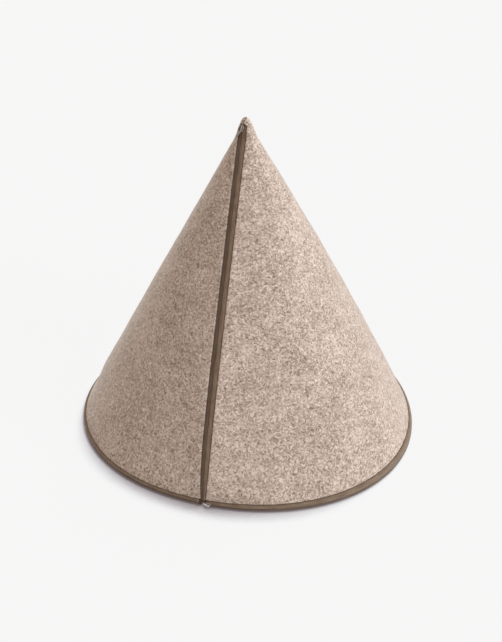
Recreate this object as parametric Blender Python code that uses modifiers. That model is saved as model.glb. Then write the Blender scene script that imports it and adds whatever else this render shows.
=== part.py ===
"""Felt teepee bed for a dog: a half round of felt rolled into a closed cone, zipped up its front,
with a second zip round its foot that joins it to a round felt base.

Metres, +Z up. The front zip faces -Y, the base lies on z = 0, and the origin is under the middle
of the bed's box. Angles round the cone ("turns") start at the front and run to the viewer's right.
"""

import math

import bmesh
import bpy
from mathutils import Matrix, Vector

MM = 0.001

# Driving dimensions
BASE_RADIUS = 0.300
CONE_HEIGHT = 0.532  # where the straight walls would meet
FELT = 0.004
PRESSED_FELT = 0.0025  # where the felt is sewn down on a zip's tape
GAP = 0.0003  # between pieces that touch
TAPE = 0.0011

# The round base, out of true as stiff felt is: drawn in at the zip, fuller to the right of it.
# Lobes are waves round the turn; here their depth is a share of the radius.
RIM_LOBES = (
    {"depth": 0.0412, "waves": 2, "fullest": math.radians(55)},
    {"depth": 0.0199, "waves": 3, "fullest": math.radians(70)},
)

# The wall folds to a soft ridge along the front zip, which dies out towards the round base
RIDGE = 0.12  # of the wall's radius
RIDGE_SPREAD = 0.35  # radians
RIDGE_RISE = 0.070

# Half way up the wall bellies out, more on the right than on the left
BELLY = 0.0039
BELLY_RIGHT = 0.0037
BELLY_FOOT = 0.024  # height where it starts

# On the left of the back its foot tucks in under it
TUCK = 0.0052
TUCK_TURN = math.radians(245)
TUCK_SPREAD = math.radians(40)
TUCK_FADES_OVER = (0.035, 0.075)  # heights

# The blunt tip: distance under the very top, and the radius there
TIP_TOP = 0.5348
TIP_SECTIONS = (
    {"drop": 0.0385, "radius": 0.0203},
    {"drop": 0.0300, "radius": 0.0160},
    {"drop": 0.0240, "radius": 0.0139},
    {"drop": 0.0182, "radius": 0.0121},
    {"drop": 0.0120, "radius": 0.0098},
    {"drop": 0.0090, "radius": 0.0085},
    {"drop": 0.0065, "radius": 0.0073},
    {"drop": 0.0036, "radius": 0.0053},
    {"drop": 0.0013, "radius": 0.0029},
)
TIP_ROUND_FROM, TIP_ROUND_TO = 0.050, 0.015  # under the top, where the unevenness fades out

# Front zip
ZIP_HALF = 0.0079  # half of the tape that shows between the felt's edges
ZIP_NARROWER = 0.0037  # at the foot
ZIP_NARROWS_OVER = 0.037
ZIP_OFFSET = -0.0035  # its middle runs a little to the left of the cone's tip
ZIP_FOOT_OFFSET = -0.0010
ZIP_TIP_SPREAD = 0.0012  # near the tip its left edge lies twice this further round the cone
ZIP_SPREADS_AT = 0.505  # height
ZIP_SPREADS_OVER = 0.038
ZIP_TOP = TIP_TOP - TIP_SECTIONS[4]["drop"]
SEAM_HALF = 0.0007  # above the zip the felt's edges meet in a short seam
SEAM_CLOSES_OVER = 0.0045
SEAM_CENTRES_OVER = 0.0110
TAPE_UNDER_FELT = 0.0068
TAPE_MOST_TURN = 0.195  # radians that it reaches under the felt near the tip
TAPE_TURNS_IN_BELOW = (0.017, 0.026)
TAPE_FOOT_REACH = 0.02  # share of its reach that is left at the foot
TAPE_PAST_FELT = 0.0015  # below the felt's lower edge
TAPE_CROWN = 0.0003
ZIP_PROUD = 0.0008  # of the chain over a straight line between the felt's edges
CHAIN_HALF = 0.0027
CHAIN_DEPTH = 0.0016
CHAIN_FALL = 0.55  # slope of the tapes away from the chain

# Foot of the wall, and the zip round it
RIM_BAND = 0.0108  # height of the felt's lower edge
RIM_BAND_LOBES = (  # metres that the edge lies higher, and lower between
    {"depth": 0.0025, "waves": 1, "fullest": math.radians(90)},
    {"depth": 0.0016, "waves": 2, "fullest": math.radians(90)},
)
RIM_BAND_EVEN_ABOVE = 0.060  # where the wall's rows no longer follow the edge
PRESSED_HEM = 0.0185
PRESSED_HEM_END = 0.0220
BASE_INSET = 0.0022
BASE_MARGIN = 0.0090
BASE_MARGIN_RISE = 0.0018
# Ends of the rim zip, measured along the rim from the cone's front. The upper tape stops on each
# side of the front zip's tapes; the coil and the lower tape all but meet under them.
RIM_UPPER_ENDS = {"left": -0.0105, "right": 0.0020}
RIM_LOWER_ENDS = {"left": -0.0071, "right": 0.0}

# Sections of the rim zip in millimetres: out from the base's outline, and height. Where the felt's
# edge lies higher, each point follows it by its share.
RIM_TAPE_UPPER = {
    "out": (-9.36, -5.4, -2.75, -1.1, 0.4, 1.3, 1.6, 0.5, 0.25, -0.3, -1.4, -2.65, -5.8, -10.3),
    "height": (16.05, 9.1, 10.25, 10.1, 9.2, 7.8, 6.1, 6.1, 7.4, 8.3, 9.0, 9.05, 7.8, 15.5),
    "follows": (1.0, 1.0, 1.0, 1.0, 0.8, 0.5, 0.3, 0.3, 0.5, 0.8, 1.0, 1.0, 1.0, 1.0),
}
RIM_TAPE_LOWER = {
    "out": (1.6, 1.5, 1.1, 0.3, -0.8, -8.2, -8.2, -0.8, 0.0, 0.4, 0.5),
    "height": (5.5, 3.8, 1.9, 0.8, 0.4, 0.4, 1.5, 1.5, 2.4, 3.9, 5.5),
    "follows": (0.3, 0.2, 0.05, 0.0, 0.0, 0.0, 0.0, 0.0, 0.05, 0.2, 0.3),
}
RIM_COIL = {
    "out": (0.1, 0.1, -0.5, -1.7, -1.7),
    "height": (4.6, 6.6, 7.7, 7.7, 4.6),
    "follows": (0.3, 0.5, 0.8, 0.8, 0.3),
}

# Sliders: a plate, a bridge for the pull, and a post between the two tapes
SLIDER_LENGTH = 0.0125
SLIDER_WIDTH = 0.0058
SLIDER_PLATE = 0.0010
SLIDER_SIDE = (
    {"along": 0.0, "broad": 0.72},  # shares of its length and half width, from its narrower foot
    {"along": 0.62, "broad": 1.0},
    {"along": 0.90, "broad": 0.78},
    {"along": 1.0, "broad": 0.30},
)
BRIDGE_THICK = 0.0008
BRIDGE_UNDERSIDE = 0.0030
BRIDGE_LENGTH = 0.0078
POST_WIDTH = 0.0020
POST_LENGTH = 0.0015
POST_DEPTH = 0.0034
POST_PAST_ZIP = 0.0010
SOFT_EDGE = 0.0002
FRONT_SLIDER_FOOT = 0.5130  # height
FRONT_BRIDGE = 0.0020  # from the slider's foot
RIM_SLIDER_PAST_END = 0.0026
RIM_SLIDER_OUT = 0.0025
RIM_SLIDER_HEIGHT = 0.0056
RIM_BRIDGE = 0.0036
RIM_POST_FROM_NOSE = 0.0021

# Pulls: flat tabs, each with an eye that hangs on its slider's bridge
PULL_WIDTH = 0.0036
PULL_THICK = 0.0008
PULL_EYE = 0.0012  # radius
FRONT_PULL_LENGTH = 0.0165
FRONT_PULL_LIFT = 0.0021  # of the eye over the slider's plate
FRONT_PULL_END = {"turn": math.radians(-52), "height": 0.5030, "lift": 0.0011}
RIM_PULL_LENGTH = 0.0105
RIM_PULL_LIFT = 0.0014
RIM_PULL_DROOP = math.radians(14)
RIM_PULL_SAG = 0.0004  # of the eye's middle under the bridge

# Steps of the meshes
WALL_COLUMNS = 72
WALL_ROWS = 15
ROWS_NEAR_FOOT = 1.25  # power that crowds the rows towards the foot
EDGE_STEPS = (  # columns beside the felt's edge: distance from it, and most radians
    {"distance": 0.0, "most": 0.0},
    {"distance": 0.0075, "most": 0.21},
    {"distance": 0.0105, "most": 0.33},
)
SLOPE_STEP = 0.001  # over which a slope of the wall is measured
EDGE_INSIDE = 0.002  # radians from the felt's edge to where its slope is measured
SHARP_ABOVE = math.radians(40)
EYE_STEPS = 16

PARTS = bpy.data.collections.new("felt_teepee_bed")
CUTTERS = bpy.data.collections.new("joined_pieces")


def clear_scene():
    for obj in list(bpy.data.objects):
        bpy.data.objects.remove(obj)
    bpy.context.scene.collection.children.link(PARTS)
    bpy.context.scene.collection.children.link(CUTTERS)


def material(name, color, roughness, metallic=0.0):
    made = bpy.data.materials.new(name)
    made.use_nodes = True
    shader = made.node_tree.nodes["Principled BSDF"]
    shader.inputs["Base Color"].default_value = (*color, 1.0)
    shader.inputs["Roughness"].default_value = roughness
    shader.inputs["Metallic"].default_value = metallic
    return made


def add_object(name, mesh, finish):
    mesh.materials.append(finish)
    obj = bpy.data.objects.new(name, mesh)
    PARTS.objects.link(obj)
    return obj


def smooth_step(low, high, value):
    share = min(max((value - low) / (high - low), 0.0), 1.0)
    return share * share * (3 - 2 * share)


# ---------------------------------------------------------------- the shape of the wall and the rim


def lobes_at(lobes, turn):
    return sum(lobe["depth"] * math.cos(lobe["waves"] * (turn - lobe["fullest"])) for lobe in lobes)


def unevenness(turn):
    """How far the base is out of round at a turn, as a share of its radius. The back is round."""
    return lobes_at(RIM_LOBES, turn) * (1 + math.cos(turn)) / 2


def edge_rise(turn):
    """How much higher than RIM_BAND the felt's lower edge lies."""
    return lobes_at(RIM_BAND_LOBES, turn)


def ridge(turn, height):
    """How far the fold at the zip stands out, as a share of the radius: not at all at the foot."""
    from_zip = abs((turn + math.pi) % math.tau - math.pi)
    rise = 1 - math.exp(-max(height - RIM_BAND, 0.0) / RIDGE_RISE)
    return RIDGE * math.exp(-from_zip / RIDGE_SPREAD) * rise


def belly(turn, height):
    rise = min(max((height - BELLY_FOOT) / (CONE_HEIGHT - BELLY_FOOT), 0.0), 1.0)
    return (BELLY + BELLY_RIGHT * math.sin(turn)) * 4 * rise * (1 - rise)


def tuck(turn, height):
    share = math.exp(-(((turn - TUCK_TURN) / TUCK_SPREAD) ** 2))
    return TUCK * share * (1 - smooth_step(*TUCK_FADES_OVER, height))


def wall_slope():
    """How far the straight wall leans in for each metre up."""
    return BASE_RADIUS / (CONE_HEIGHT - RIM_BAND / 2)


def mean_radius(height):
    """Radius of the wall's outer face: a straight cone, with a blunt tip."""
    if height < TIP_TOP - TIP_SECTIONS[0]["drop"]:
        return (CONE_HEIGHT - height) * wall_slope()
    for lower, upper in zip(TIP_SECTIONS, TIP_SECTIONS[1:]):
        low, high = TIP_TOP - lower["drop"], TIP_TOP - upper["drop"]
        if height <= high:
            share = (height - low) / (high - low)
            return lower["radius"] + share * (upper["radius"] - lower["radius"])
    return TIP_SECTIONS[-1]["radius"]


def wall_radius(turn, height):
    uneven = unevenness(turn) + ridge(turn, height)
    uneven *= 1 - smooth_step(TIP_TOP - TIP_ROUND_FROM, TIP_TOP - TIP_ROUND_TO, height)
    return mean_radius(height) * (1 + uneven) + belly(turn, height) - tuck(turn, height)


def outwards(turn):
    return Vector((math.sin(turn), -math.cos(turn), 0.0))


def wall_point(turn, height):
    """A point of the wall's outer face. Near the foot, height counts from the felt's own edge."""
    height += edge_rise(turn) * (1 - smooth_step(PRESSED_HEM_END, RIM_BAND_EVEN_ABOVE, height))
    return outwards(turn) * wall_radius(turn, height) + Vector((0.0, 0.0, height))


def wall_normal(turn, height):
    step = SLOPE_STEP / 10
    low, high = height - step, height + step
    across = wall_point(turn + step, height) - wall_point(turn - step, height)
    along = wall_point(turn, high) - wall_point(turn, low)
    return across.cross(along).normalized()


def rim_point(turn, out, height, follows=0.0):
    """A point of the rim: out is how far it lies outside the base's outline."""
    rise = follows * edge_rise(turn)
    height += rise
    radius = BASE_RADIUS + out - rise * wall_slope()
    radius *= 1 + unevenness(turn) + ridge(turn, height)
    return outwards(turn) * (radius - tuck(turn, height)) + Vector((0.0, 0.0, height))


def foot_share(height):
    return math.exp((RIM_BAND - height) / ZIP_NARROWS_OVER)


def tip_spread(height):
    return ZIP_TIP_SPREAD * math.exp((height - ZIP_SPREADS_AT) / ZIP_SPREADS_OVER)


def zip_middle(height):
    """Distance of the front zip's middle from the cone's front, along the wall."""
    aside = ZIP_OFFSET + ZIP_FOOT_OFFSET * foot_share(height) - tip_spread(height)
    return aside * (1 - smooth_step(ZIP_TOP, ZIP_TOP + SEAM_CENTRES_OVER, height))


def zip_half(height):
    shown = ZIP_HALF - ZIP_NARROWER * foot_share(height) + tip_spread(height)
    return shown + (SEAM_HALF - shown) * smooth_step(ZIP_TOP, ZIP_TOP + SEAM_CLOSES_OVER, height)


def edge_turn(height, side):
    """Turn of the felt's edge beside the front zip; side is +1 on the right, -1 on the left."""
    distance = zip_middle(height) + side * zip_half(height)
    return distance / wall_radius(0.0, height)


def wall_turns(height):
    """Turns of the columns of the wall, from the right of the front zip round to its left."""
    right, left = edge_turn(height, 1), math.tau + edge_turn(height, -1)
    radius = wall_radius(0.0, height)
    steps = [min(step["distance"] / radius, step["most"]) for step in EDGE_STEPS]
    turns = [right + step for step in steps]
    span = left - right - 2 * steps[-1]
    turns += [turns[-1] + span * column / WALL_COLUMNS for column in range(1, WALL_COLUMNS)]
    return turns + [left - step for step in reversed(steps)]


def wall_heights():
    """Heights of the rows of the wall, closer together near the foot."""
    tip_start = TIP_TOP - TIP_SECTIONS[0]["drop"]
    rows = [RIM_BAND, PRESSED_HEM, PRESSED_HEM_END]
    for row in range(1, WALL_ROWS):
        share = (row / WALL_ROWS) ** ROWS_NEAR_FOOT
        rows.append(PRESSED_HEM_END + share * (tip_start - PRESSED_HEM_END))
    return rows + [TIP_TOP - section["drop"] for section in TIP_SECTIONS]


# ---------------------------------------------------------------- meshes


def lofted(name, sections, finish):
    """A skin over closed sections of like count, one after the other, with flat ends."""
    shape = bmesh.new()
    loops = [[shape.verts.new(point) for point in section] for section in sections]
    count = len(loops[0])
    for before, after in zip(loops, loops[1:]):
        for i in range(count):
            j = (i + 1) % count
            shape.faces.new((before[i], before[j], after[j], after[i]))
    shape.faces.new(loops[0])
    shape.faces.new(loops[-1])
    bmesh.ops.recalc_face_normals(shape, faces=shape.faces)
    mesh = bpy.data.meshes.new(name)
    shape.to_mesh(mesh)
    shape.free()
    mesh.shade_smooth()
    mesh.set_sharp_from_angle(angle=SHARP_ABOVE)
    return add_object(name, mesh, finish)


def plate(name, outline, thickness, finish, bevel):
    """A flat outline in local X and Y, thickness in Z and centred there, with softened edges."""
    shape = bmesh.new()
    face = shape.faces.new([shape.verts.new((x, y, -thickness / 2)) for x, y in outline])
    grown = bmesh.ops.extrude_face_region(shape, geom=[face])
    raised = [item for item in grown["geom"] if isinstance(item, bmesh.types.BMVert)]
    bmesh.ops.translate(shape, verts=raised, vec=(0.0, 0.0, thickness))
    bmesh.ops.recalc_face_normals(shape, faces=shape.faces)
    mesh = bpy.data.meshes.new(name)
    shape.to_mesh(mesh)
    shape.free()
    obj = add_object(name, mesh, finish)
    soften = obj.modifiers.new("soften", "BEVEL")
    soften.width = bevel
    soften.segments = 2
    soften.limit_method = "ANGLE"
    return obj


def rounded_outline(length, width, near_end, round_steps=6):
    """A strip with round ends, along local X from its near end."""
    radius = width / 2
    points = []
    for centre, start in ((near_end + length - radius, -90), (near_end + radius, 90)):
        for step in range(round_steps + 1):
            angle = math.radians(start + 180 * step / round_steps)
            points.append((centre + radius * math.cos(angle), radius * math.sin(angle)))
    return points


# ---------------------------------------------------------------- felt


def make_cone(finish):
    """One sheet of felt from the right of the front zip round to its left, thinner where sewn."""
    heights = wall_heights()
    shape = bmesh.new()
    rows = []
    full = []
    for height in heights:
        turns = wall_turns(height)
        rows.append([shape.verts.new(wall_point(turn, height)) for turn in turns])
        full += [
            vert
            for column, vert in enumerate(rows[-1])
            if height > PRESSED_HEM and 1 < column < len(turns) - 2
        ]
    for lower, upper in zip(rows, rows[1:]):
        for column in range(len(lower) - 1):
            corners = (lower[column], lower[column + 1], upper[column + 1], upper[column])
            shape.faces.new(corners)
    top = shape.verts.new((0.0, 0.0, TIP_TOP))
    for column in range(len(rows[-1]) - 1):
        shape.faces.new((rows[-1][column], rows[-1][column + 1], top))
    shape.verts.index_update()
    full = [vert.index for vert in full] + [top.index]
    mesh = bpy.data.meshes.new("cone_felt")
    shape.to_mesh(mesh)
    shape.free()
    mesh.shade_smooth()
    cone = add_object("cone_felt", mesh, finish)
    cone.vertex_groups.new(name="unpressed").add(full, 1.0, "REPLACE")
    sheet = cone.modifiers.new("felt", "SOLIDIFY")
    sheet.thickness = FELT
    sheet.offset = -1.0
    sheet.vertex_group = "unpressed"
    sheet.thickness_vertex_group = PRESSED_FELT / FELT


def make_base(finish):
    """The round base, its margin pressed from below where the lower tape is sewn under it."""
    profile = (
        (-BASE_MARGIN, 0.0),
        (-BASE_MARGIN, BASE_MARGIN_RISE),
        (-BASE_INSET, BASE_MARGIN_RISE),
        (-BASE_INSET, FELT),
    )
    rings = []
    for out, height in profile:
        rings.append([rim_point(turn, out, height) for turn in wall_turns(RIM_BAND)])
    lofted("base_felt", rings, finish)


# ---------------------------------------------------------------- front zip


def zip_frame(height):
    """Where the front zip's chain runs at a height, and the direction outwards there."""
    left = wall_point(edge_turn(height, -1), height)
    right = wall_point(edge_turn(height, 1), height)
    across = (right - left).normalized()
    low, high = wall_point(0.0, height - SLOPE_STEP), wall_point(0.0, height + SLOPE_STEP)
    out = across.cross((high - low).normalized()).normalized()
    return (left + right) / 2 + out * ZIP_PROUD, across, out


def make_front_tape(side, finish):
    """Half of the zip's tape: it lies under the felt's edge and rises to the chain."""
    sections = []
    heights = [height for height in wall_heights() if height <= ZIP_TOP + GAP]
    for height in [RIM_BAND - TAPE_PAST_FELT] + heights:
        middle, across, out = zip_frame(height)
        edge = edge_turn(height, side)
        reach = min(TAPE_UNDER_FELT / wall_radius(0.0, height), TAPE_MOST_TURN)
        turned_in = 1 - smooth_step(*TAPE_TURNS_IN_BELOW, height)
        under = edge + side * reach * (1 - (1 - TAPE_FOOT_REACH) * turned_in)
        depth = PRESSED_FELT + GAP
        chain = middle + across * side * GAP
        felt_edge = wall_point(edge, height)
        felt_edge -= wall_normal(edge + side * EDGE_INSIDE, height) * depth + across * side * GAP
        sewn = wall_point(under, height) - wall_normal(under, height) * depth
        halfway = (chain + felt_edge) / 2 + out * TAPE_CROWN
        outer = [chain, halfway, felt_edge, sewn]
        inner = [point - out * TAPE for point in reversed(outer)]
        inner[0] = sewn - wall_normal(under, height) * TAPE
        sections.append(outer + inner)
    name = "front_tape_right" if side > 0 else "front_tape_left"
    lofted(name, sections, finish)


def make_front_coil(finish):
    """The closed coil behind the tapes' meeting edges."""
    sections = []
    for height in wall_heights()[1:]:
        if height > ZIP_TOP:
            break
        middle, across, out = zip_frame(height)
        back = TAPE + GAP
        drop = CHAIN_FALL * CHAIN_HALF
        profile = (
            (0.0, -back),
            (CHAIN_HALF, -back - drop),
            (CHAIN_HALF, -back - drop - CHAIN_DEPTH),
            (-CHAIN_HALF, -back - drop - CHAIN_DEPTH),
            (-CHAIN_HALF, -back - drop),
        )
        sections.append([middle + across * x + out * y for x, y in profile])
    lofted("front_coil", sections, finish)


# ---------------------------------------------------------------- rim zip

def make_rim_strip(name, profile, ends, finish):
    """A strip of one section, round the foot from the right of the junction to its left."""
    start = ends["right"] / BASE_RADIUS
    end = math.tau + ends["left"] / BASE_RADIUS
    between = [turn for turn in wall_turns(RIM_BAND) if start < turn < end]
    sections = []
    for turn in [start] + between + [end]:
        points = zip(profile["out"], profile["height"], profile["follows"])
        sections.append([rim_point(turn, out * MM, up * MM, share) for out, up, share in points])
    lofted(name, sections, finish)


# ---------------------------------------------------------------- sliders and pulls


def in_frame(origin, x_axis, near_z):
    """Matrix with its X along x_axis and its Z as near to near_z as that allows."""
    x_axis = x_axis.normalized()
    y_axis = near_z.cross(x_axis).normalized()
    turned = Matrix((x_axis, y_axis, x_axis.cross(y_axis))).transposed().to_4x4()
    return Matrix.Translation(origin) @ turned


def combine(obj, helper, operation):
    """Joins a helper to obj, or cuts it out, and moves it out of the parts' collection."""
    PARTS.objects.unlink(helper)
    CUTTERS.objects.link(helper)
    helper.hide_render = True
    helper.display_type = "WIRE"
    combined = obj.modifiers.new(helper.name, "BOOLEAN")
    combined.operation = operation
    combined.object = helper


def make_slider(name, placed, bridge_at, post_at, finish):
    """A slider along local X, its plate's middle in the plane of local X and Y."""
    half = SLIDER_WIDTH / 2
    right = [(SLIDER_LENGTH * row["along"], -half * row["broad"]) for row in SLIDER_SIDE]
    outline = right + [(x, -y) for x, y in reversed(right)]
    slider = plate(name, outline, SLIDER_PLATE, finish, SOFT_EDGE)
    slider.matrix_world = placed

    half = POST_WIDTH / 2
    post_end = post_at + POST_LENGTH
    outline = ((post_at, -half), (post_end, -half), (post_end, half), (post_at, half))
    post = plate(name + "_post", outline, POST_DEPTH, finish, SOFT_EDGE)
    post.matrix_world = placed @ Matrix.Translation((0.0, 0.0, -POST_DEPTH / 2))
    combine(slider, post, "UNION")

    near, far = bridge_at - BRIDGE_THICK / 2, bridge_at + BRIDGE_LENGTH
    low, under, top = SLIDER_PLATE / 4, BRIDGE_UNDERSIDE, BRIDGE_UNDERSIDE + BRIDGE_THICK
    outline = (
        (near, low),
        (near + BRIDGE_THICK, low),
        (near + BRIDGE_THICK, under),
        (far - BRIDGE_THICK, under),
        (far - BRIDGE_THICK, low),
        (far, low),
        (far, top),
        (near, top),
    )
    bridge = plate(name + "_bridge", outline, BRIDGE_THICK, finish, SOFT_EDGE)
    bridge.matrix_world = placed @ Matrix.Rotation(math.radians(90), 4, "X")
    combine(slider, bridge, "UNION")


def make_pull(name, placed, length, finish):
    """A pull along local X, its eye's middle at the origin."""
    back = PULL_WIDTH / 2
    pull = plate(name, rounded_outline(length, PULL_WIDTH, -back), PULL_THICK, finish, SOFT_EDGE)
    pull.matrix_world = placed
    through = 4 * PULL_THICK
    bpy.ops.mesh.primitive_cylinder_add(vertices=EYE_STEPS, radius=PULL_EYE, depth=through)
    eye = bpy.context.object
    eye.name = name + "_eye"
    for collection in list(eye.users_collection):
        collection.objects.unlink(eye)
    PARTS.objects.link(eye)
    eye.matrix_world = placed
    combine(pull, eye, "DIFFERENCE")


def make_front_slider(metal):
    """The front zip's slider, stopped at the tip, its pull hanging over the felt's left edge."""
    middle, across, out = zip_frame(FRONT_SLIDER_FOOT)
    upwards = zip_frame(ZIP_TOP)[0] - middle
    placed = in_frame(middle + out * (GAP + SLIDER_PLATE / 2), upwards, out)
    make_slider("front_slider", placed, FRONT_BRIDGE, upwards.length + POST_PAST_ZIP, metal)
    eye = placed @ Vector((FRONT_BRIDGE, 0.0, FRONT_PULL_LIFT))
    turn, height = FRONT_PULL_END["turn"], FRONT_PULL_END["height"]
    normal = wall_normal(turn, height)
    end = wall_point(turn, height) + normal * FRONT_PULL_END["lift"]
    make_pull("front_pull", in_frame(eye, end - eye, out), FRONT_PULL_LENGTH, metal)


def make_rim_slider(metal, bright_metal):
    """The rim zip's slider on its right end, and its pull drooping over the lower tape."""
    foot = (RIM_LOWER_ENDS["right"] + SLIDER_LENGTH - RIM_SLIDER_PAST_END) / BASE_RADIUS
    origin = rim_point(foot, RIM_SLIDER_OUT, RIM_SLIDER_HEIGHT)
    nose = rim_point(foot - SLIDER_LENGTH / BASE_RADIUS, RIM_SLIDER_OUT, RIM_SLIDER_HEIGHT)
    placed = in_frame(origin, nose - origin, outwards(foot))
    post_at = SLIDER_LENGTH - RIM_POST_FROM_NOSE
    make_slider("rim_slider", placed, RIM_BRIDGE, post_at, metal)
    bridge_end = RIM_BRIDGE + BRIDGE_LENGTH - BRIDGE_THICK / 2
    eye = placed @ Matrix.Translation((bridge_end, 0.0, RIM_PULL_LIFT))
    eye = Matrix.Translation((0.0, 0.0, -RIM_PULL_SAG)) @ eye
    drooping = Matrix.Rotation(math.pi - RIM_PULL_DROOP, 4, "Z")
    make_pull("rim_pull", eye @ drooping, RIM_PULL_LENGTH, bright_metal)


def stand_on_middle():
    """Moves the whole bed so that the middle of its box is over the origin."""
    bpy.context.view_layer.update()
    graph = bpy.context.evaluated_depsgraph_get()
    corners = []
    for obj in PARTS.objects:
        box = obj.evaluated_get(graph).bound_box
        corners += [obj.matrix_world @ Vector(corner) for corner in box]
    bed = bpy.data.objects.new("bed", None)
    PARTS.objects.link(bed)
    for obj in list(PARTS.objects) + list(CUTTERS.objects):
        if obj != bed:
            obj.parent = bed
    for axis in (0, 1):
        places = [corner[axis] for corner in corners]
        bed.location[axis] = -(min(places) + max(places)) / 2


def main():
    clear_scene()
    felt = material("felt", (0.42, 0.33, 0.27), 0.95)
    base = material("base_felt", (0.40, 0.31, 0.25), 0.95)
    tape = material("zip_tape", (0.16, 0.11, 0.085), 0.8)
    coil = material("zip_coil", (0.10, 0.07, 0.055), 0.5)
    metal = material("zip_metal", (0.36, 0.31, 0.28), 0.35, 1.0)
    bright_metal = material("bright_metal", (0.80, 0.78, 0.75), 0.25, 1.0)
    make_cone(felt)
    make_base(base)
    make_front_tape(-1, tape)
    make_front_tape(1, tape)
    make_front_coil(coil)
    make_front_slider(metal)
    make_rim_strip("rim_tape_upper", RIM_TAPE_UPPER, RIM_UPPER_ENDS, tape)
    make_rim_strip("rim_tape_lower", RIM_TAPE_LOWER, RIM_LOWER_ENDS, tape)
    make_rim_strip("rim_coil", RIM_COIL, RIM_LOWER_ENDS, coil)
    make_rim_slider(metal, bright_metal)
    stand_on_middle()


main()
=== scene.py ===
import math

import bmesh
import bpy
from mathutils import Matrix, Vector, noise


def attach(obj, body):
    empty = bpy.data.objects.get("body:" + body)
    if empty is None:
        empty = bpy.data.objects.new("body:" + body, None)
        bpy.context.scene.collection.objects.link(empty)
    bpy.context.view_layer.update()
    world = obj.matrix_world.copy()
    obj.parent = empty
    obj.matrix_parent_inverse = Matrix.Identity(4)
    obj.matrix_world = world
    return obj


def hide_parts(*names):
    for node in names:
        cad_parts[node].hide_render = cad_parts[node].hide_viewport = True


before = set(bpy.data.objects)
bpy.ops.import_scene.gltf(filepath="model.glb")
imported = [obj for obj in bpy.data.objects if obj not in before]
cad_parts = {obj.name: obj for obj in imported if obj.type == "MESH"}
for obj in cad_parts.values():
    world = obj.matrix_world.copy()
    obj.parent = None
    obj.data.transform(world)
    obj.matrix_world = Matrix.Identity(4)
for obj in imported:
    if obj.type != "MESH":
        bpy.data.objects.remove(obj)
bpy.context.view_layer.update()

# ------------------------------------------------------------------ the felt of the cone
# One half round of thick pressed felt, rolled into a cone and zipped shut up its front. It
# stands by its own stiffness, folds to a soft ridge along the zip, and is sewn down flat on both
# zips' tapes. Above the zip its two cut edges meet in a short seam at a blunt tip.

BASE_RADIUS = 0.300
CONE_HEIGHT = 0.532  # where the straight walls would meet
TIP_TOP = 0.5348
FELT = 0.004
PRESSED_FELT = 0.0025  # where the felt is sewn down on a zip's tape
PRESSED_EDGE = 0.0075  # in from the cut edges beside the front zip
PRESSED_HEM = 0.0185  # height
PRESSED_HEM_END = 0.0220
RIM_BAND = 0.0108  # height of the felt's lower edge, with the rim zip below it
ZIP_TOP = 0.5228
WALL_SLOPE = BASE_RADIUS / (CONE_HEIGHT - RIM_BAND / 2)

# How the foot is out of round, as shares of its radius, and how the felt's lower edge rises
RIM_LOBES = (
    {"depth": 0.0412, "waves": 2, "fullest": math.radians(55)},
    {"depth": 0.0199, "waves": 3, "fullest": math.radians(70)},
)
RIM_BAND_LOBES = (
    {"depth": 0.0025, "waves": 1, "fullest": math.radians(90)},
    {"depth": 0.0016, "waves": 2, "fullest": math.radians(90)},
)
RIM_WAVES_END = 0.060  # height where the wall no longer follows the lower edge

RIDGE = 0.12  # of the wall's radius
RIDGE_SPREAD = 0.35  # radians
RIDGE_RISE = 0.070

BELLY = 0.0039
BELLY_RIGHT = 0.0037
BELLY_FOOT = 0.024  # height where it starts

TUCK = 0.0052
TUCK_TURN = math.radians(245)
TUCK_SPREAD = math.radians(40)
TUCK_FADES_OVER = (0.035, 0.075)  # heights

# The front zip's gap in the felt lies left of the ridge. It narrows towards the foot and spreads
# towards the tip, and above the zip it closes to a seam.
ZIP_HALF = 0.0079
ZIP_NARROWER = 0.0037
ZIP_OFFSET = -0.0035
ZIP_FOOT_OFFSET = -0.0010
ZIP_NARROWS_OVER = 0.037
ZIP_TIP_SPREAD = 0.0012
ZIP_SPREADS_AT = 0.505
ZIP_SPREADS_OVER = 0.038
SEAM_HALF = 0.0007
SEAM_CLOSES_OVER = 0.0045
SEAM_STRAIGHTENS_OVER = 0.011

# The blunt tip, from the straight wall up: how far below the top, and the wall's mean radius there
TIP_SECTIONS = (
    {"drop": 0.0600, "radius": 0.03259},
    {"drop": 0.0450, "radius": 0.02404},
    {"drop": 0.0385, "radius": 0.0203},
    {"drop": 0.0300, "radius": 0.0160},
    {"drop": 0.0240, "radius": 0.0139},
    {"drop": 0.0182, "radius": 0.0121},
    {"drop": 0.0120, "radius": 0.0098},
    {"drop": 0.0090, "radius": 0.0085},
    {"drop": 0.0065, "radius": 0.0073},
    {"drop": 0.0036, "radius": 0.0053},
    {"drop": 0.0013, "radius": 0.0029},
    {"drop": 0.0, "radius": 0.0001},
)
TIP_EVENS_FROM, TIP_EVENS_BY = 0.050, 0.015  # below the top, where lobes and ridge die out

tip = max((vertex.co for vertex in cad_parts["cone_felt"].data.vertices), key=lambda co: co.z)
AXIS = Vector((tip.x, tip.y, 0.0))


def smooth_step(low, high, value):
    share = min(max((value - low) / (high - low), 0.0), 1.0)
    return share * share * (3 - 2 * share)


def lobes_at(lobes, turn):
    return sum(lobe["depth"] * math.cos(lobe["waves"] * (turn - lobe["fullest"])) for lobe in lobes)


def unevenness(turn):
    """How far the foot is out of round, as a share of its radius. Turns start at the front."""
    return lobes_at(RIM_LOBES, turn) * (1 + math.cos(turn)) / 2


def ridge(turn, height):
    """The soft fold along the front zip, as a share of the wall's radius."""
    from_zip = abs((turn + math.pi) % math.tau - math.pi)
    rise = 1 - math.exp(-max(height - RIM_BAND, 0.0) / RIDGE_RISE)
    return RIDGE * math.exp(-from_zip / RIDGE_SPREAD) * rise


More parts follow.
